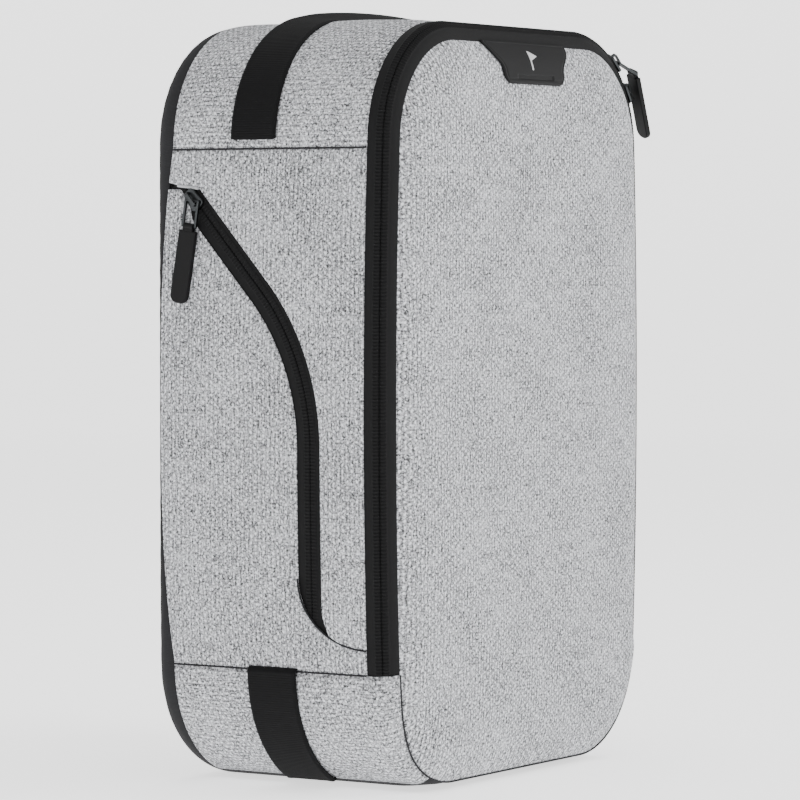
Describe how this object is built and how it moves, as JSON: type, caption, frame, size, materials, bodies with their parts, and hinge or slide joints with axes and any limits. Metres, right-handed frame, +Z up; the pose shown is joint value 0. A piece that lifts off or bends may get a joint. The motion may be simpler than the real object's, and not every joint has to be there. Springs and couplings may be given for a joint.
{
  "type": "golf shoe bag",
  "caption": "Upright golf shoe bag with a zipped front that folds down, a side pocket with its own zip, and a webbing carry handle.",
  "frame": {"origin": "middle of the base's rest face", "axes": "+Z up as the bag stands, -Y the zipped front, -X the side with the pocket"},
  "size_m": [0.2554, 0.1376, 0.365],
  "materials": {
    "heather_cloth": "woven melange polyester, matt",
    "black_cloth": "plain woven nylon, matt",
    "webbing": "ribbed webbing, slight sheen",
    "zip_tape": "knitted zip tape, matt",
    "zip_coil": "moulded nylon coil",
    "gunmetal": "dark plated zinc, satin",
    "pull_rubber": "moulded soft rubber, satin",
    "emblem": "pale raised print",
    "foam": "thin padding foam",
    "lining": "plain woven lining",
    "board": "stiff plastic board"
  },
  "bodies": {
    "bag": {"back_foam": "foam", "back_lining": "lining", "back_panel": "black_cloth", "back_seam_binding": "webbing", "base_panel": "black_cloth", "base_stiffener": "board", "bottom_gusset_left": "heather_cloth", "bottom_gusset_right": "heather_cloth", "bottom_strap_left": "webbing", "bottom_strap_right": "webbing", "carry_handle": "webbing", "front_foot_foam": "foam", "front_foot_lining": "lining", "front_foot_panel": "heather_cloth", "gusset_lining": "lining", "left_corner_foam": "foam", "left_front_panel": "heather_cloth", "left_pocket_panel": "heather_cloth", "left_side_foam": "foam", "main_zip_body_coil": "zip_coil", "main_zip_body_tape": "zip_tape", "main_zip_stops": "gunmetal", "pocket_lining": "lining", "pocket_pouch": "lining", "pocket_zip_front_coil": "zip_coil", "pocket_zip_front_tape": "zip_tape", "pocket_zip_rear_coil": "zip_coil", "pocket_zip_rear_tape": "zip_tape", "right_side_foam": "foam", "right_side_panel": "heather_cloth", "top_foam": "foam", "top_gusset": "heather_cloth"},
    "lid": {"lid_panel": "heather_cloth", "lid_foam": "foam", "lid_lining": "lining", "lid_binding": "webbing", "main_zip_lid_tape": "zip_tape", "main_zip_lid_coil": "zip_coil", "front_patch": "pull_rubber", "flag_emblem": "emblem"},
    "main_slider_a": {"main_slider_a": "gunmetal"},
    "main_slider_a_link": {"main_slider_a_link": "gunmetal"},
    "main_slider_a_pull": {"main_slider_a_pull": "pull_rubber"},
    "main_slider_b": {"main_slider_b": "gunmetal"},
    "main_slider_b_link": {"main_slider_b_link": "gunmetal"},
    "main_slider_b_pull": {"main_slider_b_pull": "pull_rubber"},
    "pocket_slider": {"pocket_slider": "gunmetal"},
    "pocket_slider_link": {"pocket_slider_link": "gunmetal"},
    "pocket_slider_pull": {"pocket_slider_pull": "pull_rubber"}
  },
  "joints": [
    {"name": "lid_fold", "type": "hinge", "parent": "bag", "child": "lid", "pos_m": [0, -0.0683, 0.057], "axis": [1, 0, 0], "range_deg": [0, 100]},
    {"name": "main_slider_a_travel", "type": "hinge", "parent": "bag", "child": "main_slider_a", "pos_m": [0.05987, -0.0565, 0.299], "axis": [0, -1, 0], "range_deg": [0, 35]},
    {"name": "main_slider_b_travel", "type": "hinge", "parent": "bag", "child": "main_slider_b", "pos_m": [0.05987, -0.0565, 0.299], "axis": [0, 1, 0], "range_deg": [0, 27]},
    {"name": "pocket_slider_travel", "type": "slide", "parent": "bag", "child": "pocket_slider", "axis": [-0.0233, -0.669, -0.7429], "range_m": [0, 0.05]},
    {"name": "main_slider_a_link_swing", "type": "hinge", "parent": "main_slider_a", "child": "main_slider_a_link", "pos_m": [0.09789, -0.05781, 0.3429], "axis": [0.4249, 0.8576, 0.2898], "range_deg": [-100, 0]},
    {"name": "main_slider_a_pull_swing", "type": "hinge", "parent": "main_slider_a_link", "child": "main_slider_a_pull", "pos_m": [0.10828, -0.06131, 0.33803], "axis": [0.4249, 0.8576, 0.2898], "range_deg": [-60, 0]},
    {"name": "main_slider_b_link_swing", "type": "hinge", "parent": "main_slider_b", "child": "main_slider_b_link", "pos_m": [0.11011, -0.05781, 0.32814], "axis": [-0.119, 0.5567, 0.8222], "range_deg": [-14, 0]},
    {"name": "main_slider_b_pull_swing", "type": "hinge", "parent": "main_slider_b_link", "child": "main_slider_b_pull", "pos_m": [0.11738, -0.04945, 0.32353], "axis": [-0.119, 0.5567, 0.8222], "range_deg": [-60, 0]},
    {"name": "pocket_slider_link_swing", "type": "hinge", "parent": "pocket_slider", "child": "pocket_slider_link", "pos_m": [-0.12073, 0.04485, 0.27326], "axis": [-0.0178, -0.9901, -0.139], "range_deg": [-110, 0]},
    {"name": "pocket_slider_pull_swing", "type": "hinge", "parent": "pocket_slider_link", "child": "pocket_slider_pull", "pos_m": [-0.12091, 0.04652, 0.26138], "axis": [-0.0178, -0.9901, -0.139], "range_deg": [-75, 0]}
  ]
}
